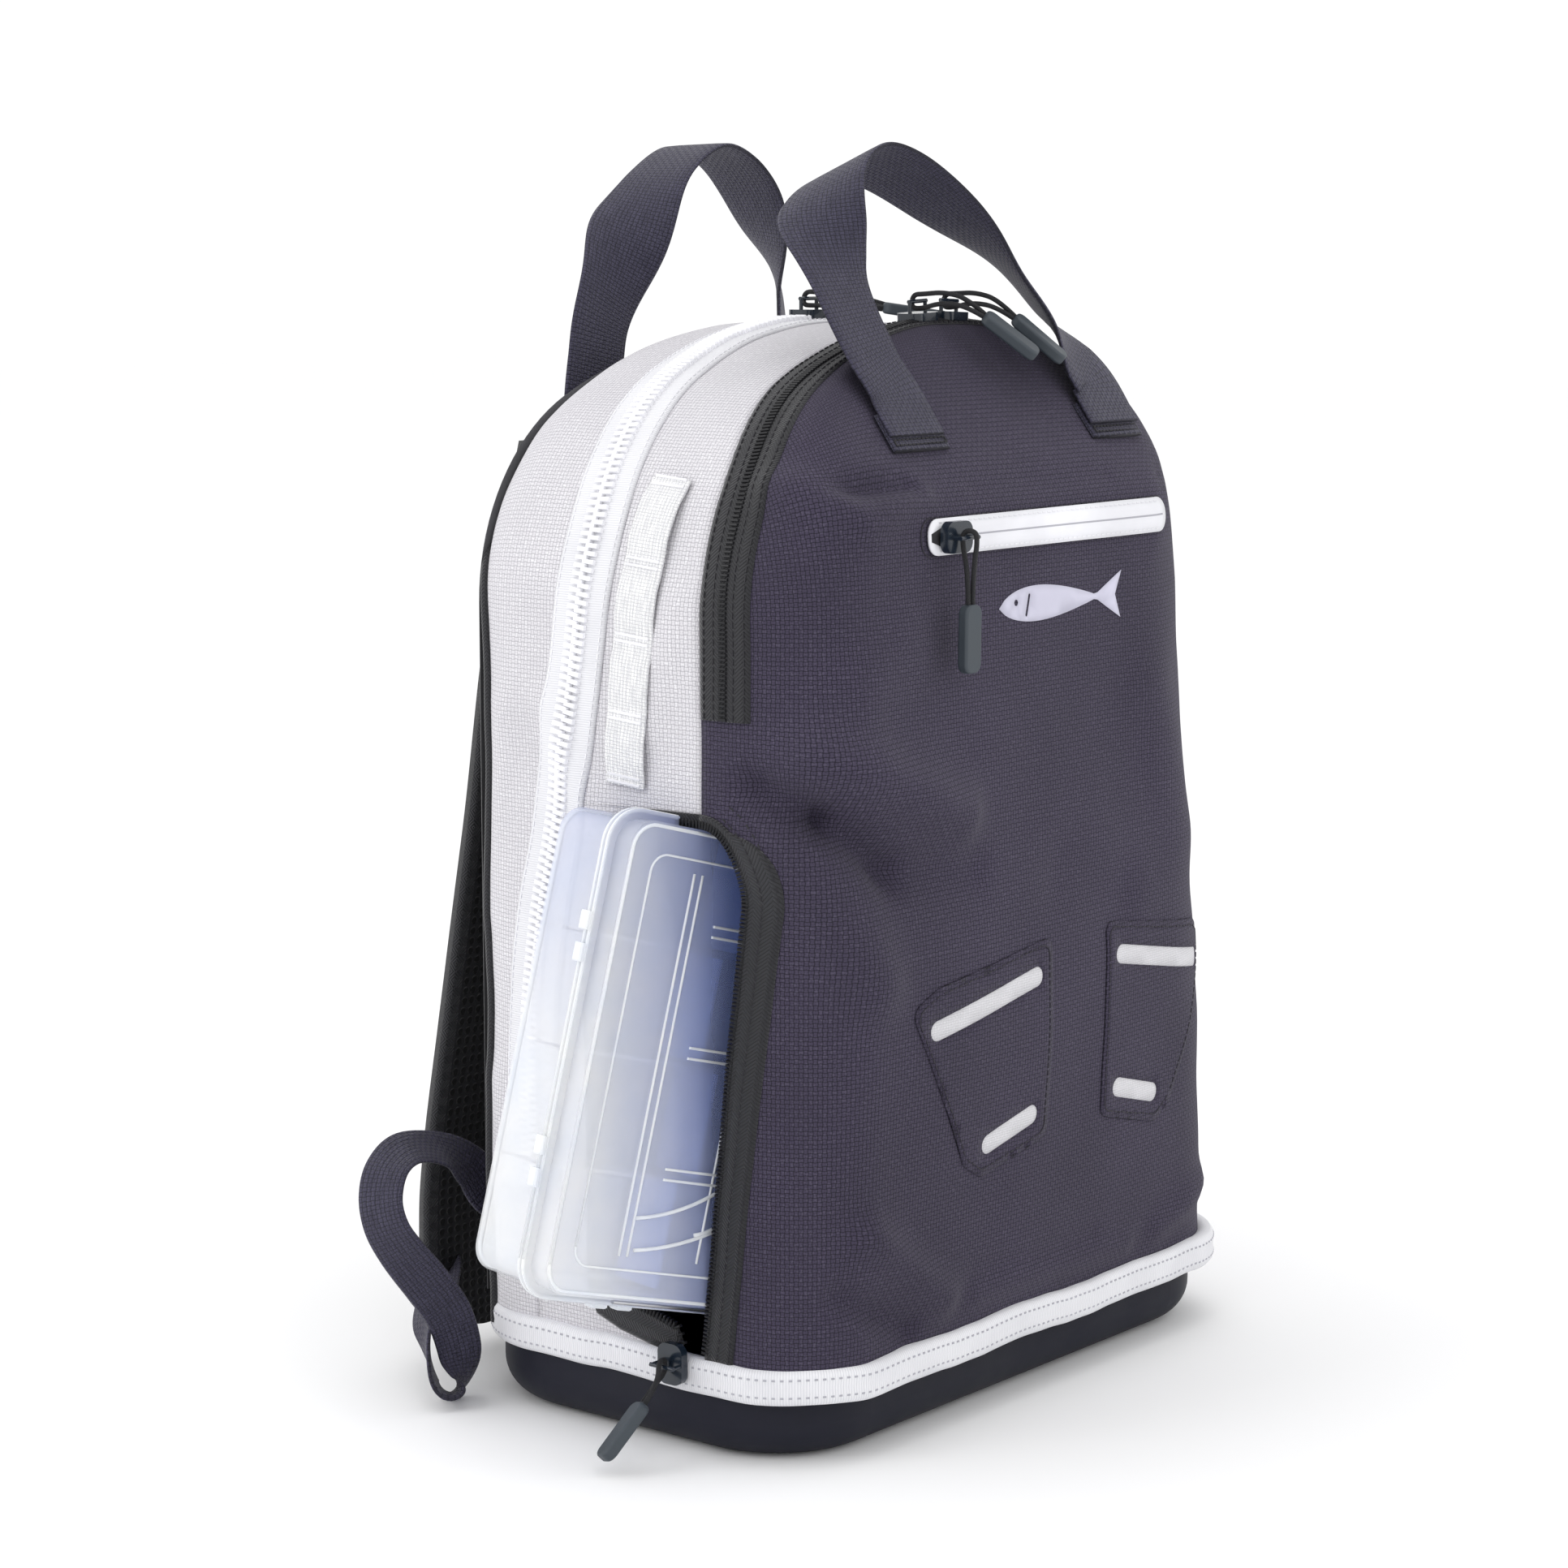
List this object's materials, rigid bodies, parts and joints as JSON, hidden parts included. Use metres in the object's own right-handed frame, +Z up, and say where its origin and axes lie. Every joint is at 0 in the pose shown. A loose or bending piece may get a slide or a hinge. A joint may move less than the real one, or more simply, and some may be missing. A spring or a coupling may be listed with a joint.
{
  "type": "tackle backpack",
  "caption": "Upright fishing backpack with a moulded base, arched zippers, padded straps and a clear utility box sliding out of its side.",
  "frame": {"origin": "centre of the base's underside, on the floor", "axes": "+Z up, the dark front panel faces -Y, the shoulder straps are on +Y, and the utility box comes out on -X"},
  "size_m": [0.4137, 0.2475, 0.4932],
  "materials": {
    "base_rubber": "matte",
    "white_webbing": "matte",
    "dark_cloth": "matte",
    "pale_cloth": "matte",
    "pad_mesh": "matte",
    "black_tape": "matte",
    "white_zipper": "satin",
    "dark_webbing": "satin",
    "navy_plastic": "gloss",
    "cord": "matte",
    "grip_rubber": "matte",
    "clear_plastic": "gloss",
    "steel_pin": "satin",
    "stiff_sheet": "matte"
  },
  "bodies": {
    "bag": {"base_tub": "base_rubber", "base_binding": "white_webbing", "daisy_chain_left": "white_webbing", "daisy_chain_right": "white_webbing", "front_panel": "dark_cloth", "pocket_bag": "dark_cloth", "lash_patches": "dark_cloth", "compartment_divider": "dark_cloth", "anchor_wing_left": "dark_cloth", "anchor_wing_right": "dark_cloth", "middle_gusset": "pale_cloth", "rear_gusset": "pale_cloth", "lash_backings": "pale_cloth", "back_panel": "pad_mesh", "back_piping": "black_tape", "front_zip_tape": "black_tape", "side_zip_tape_front": "black_tape", "side_zip_tape_rear": "black_tape", "main_zip_tape_front": "white_zipper", "main_zip_tape_rear": "white_zipper", "main_zip_teeth": "white_zipper", "pocket_zip_tape": "white_zipper", "front_handle_tabs": "dark_webbing", "rear_handle_tabs": "dark_webbing", "strap_webbing_left": "dark_webbing", "strap_webbing_right": "dark_webbing", "side_slider": "navy_plastic", "side_zip_coils": "navy_plastic", "back_frame_sheet": "stiff_sheet"},
    "main_left_slider": {"main_left_slider": "navy_plastic"},
    "main_left_pull": {"main_left_pull_cord": "cord", "main_left_pull_grip": "grip_rubber"},
    "main_right_slider": {"main_right_slider": "navy_plastic"},
    "main_right_pull": {"main_right_pull_cord": "cord", "main_right_pull_grip": "grip_rubber"},
    "front_left_slider": {"front_left_slider": "navy_plastic"},
    "front_left_pull": {"front_left_pull_cord": "cord", "front_left_pull_grip": "grip_rubber"},
    "front_right_slider": {"front_right_slider": "navy_plastic"},
    "front_right_pull": {"front_right_pull_cord": "cord", "front_right_pull_grip": "grip_rubber"},
    "pocket_slider": {"pocket_slider": "navy_plastic"},
    "pocket_pull": {"pocket_pull_cord": "cord", "pocket_pull_grip": "grip_rubber"},
    "side_pull": {"side_pull_cord": "cord", "side_pull_grip": "grip_rubber"},
    "utility_box": {"box_tray": "clear_plastic", "box_lid": "clear_plastic", "box_dividers": "clear_plastic", "box_latches": "navy_plastic", "box_hinge_pin": "steel_pin"},
    "front_handle": {"front_handle": "dark_webbing"},
    "rear_handle": {"rear_handle": "dark_webbing"},
    "shoulder_strap_left": {"strap_pad_left": "pad_mesh", "strap_buckle_left": "navy_plastic", "strap_loop_left": "dark_webbing"},
    "shoulder_strap_right": {"strap_pad_right": "pad_mesh", "strap_buckle_right": "navy_plastic", "strap_loop_right": "dark_webbing"}
  },
  "joints": [
    {"name": "main_left_slider_travel", "type": "hinge", "parent": "bag", "child": "main_left_slider", "pos_m": [0, 0.027, 0.2], "axis": [0, 1, 0], "range_deg": [-22, 0]},
    {"name": "main_left_pull_swing", "type": "hinge", "parent": "main_left_slider", "child": "main_left_pull", "pos_m": [0, 0.027, 0.4343], "axis": [-1, 0, 0], "range_deg": [0, 120]},
    {"name": "main_right_slider_travel", "type": "hinge", "parent": "bag", "child": "main_right_slider", "pos_m": [0, 0.027, 0.2], "axis": [0, 1, 0], "range_deg": [0, 16.5]},
    {"name": "main_right_pull_swing", "type": "hinge", "parent": "main_right_slider", "child": "main_right_pull", "pos_m": [0.02291, 0.027, 0.43318], "axis": [-0.9952, 0, 0.0978], "range_deg": [0, 120]},
    {"name": "front_left_slider_travel", "type": "hinge", "parent": "bag", "child": "front_left_slider", "pos_m": [0, -0.036, 0.2], "axis": [0, 1, 0], "range_deg": [-12.5, 0]},
    {"name": "front_left_pull_swing", "type": "hinge", "parent": "front_left_slider", "child": "front_left_pull", "pos_m": [-0.01041, -0.036, 0.43407], "axis": [-0.999, 0, -0.0444], "range_deg": [0, 85]},
    {"name": "front_right_slider_travel", "type": "hinge", "parent": "bag", "child": "front_right_slider", "pos_m": [0, -0.036, 0.2], "axis": [0, 1, 0], "range_deg": [0, 5]},
    {"name": "front_right_pull_swing", "type": "hinge", "parent": "front_right_slider", "child": "front_right_pull", "pos_m": [0.01041, -0.036, 0.43407], "axis": [-0.999, 0, 0.0444], "range_deg": [0, 85]},
    {"name": "pocket_slider_travel", "type": "slide", "parent": "bag", "child": "pocket_slider", "axis": [1, 0, 0], "range_m": [0, 0.134]},
    {"name": "pocket_pull_swing", "type": "hinge", "parent": "pocket_slider", "child": "pocket_pull", "pos_m": [-0.068, -0.1045, 0.348], "axis": [-1, 0, 0], "range_deg": [0, 110]},
    {"name": "side_pull_swing", "type": "hinge", "parent": "bag", "child": "side_pull", "pos_m": [-0.1623, -0.032, 0.036], "axis": [0, 1, 0], "range_deg": [0, 55]},
    {"name": "utility_box_slide", "type": "slide", "parent": "bag", "child": "utility_box", "axis": [-0.9497, 0.1812, 0.2554], "range_m": [0, 0.16]},
    {"name": "front_handle_swing", "type": "hinge", "parent": "bag", "child": "front_handle", "pos_m": [0, -0.073, 0.39], "axis": [1, 0, 0], "range_deg": [0, 105]},
    {"name": "rear_handle_swing", "type": "hinge", "parent": "bag", "child": "rear_handle", "pos_m": [0, 0.0905, 0.386], "axis": [-1, 0, 0], "range_deg": [0, 80]},
    {"name": "shoulder_strap_left_swing", "type": "hinge", "parent": "bag", "child": "shoulder_strap_left", "pos_m": [-0.066, 0.092, 0.378], "axis": [1, 0, 0], "range_deg": [0, 25]},
    {"name": "shoulder_strap_right_swing", "type": "hinge", "parent": "bag", "child": "shoulder_strap_right", "pos_m": [0.066, 0.092, 0.378], "axis": [1, 0, 0], "range_deg": [0, 25]}
  ]
}
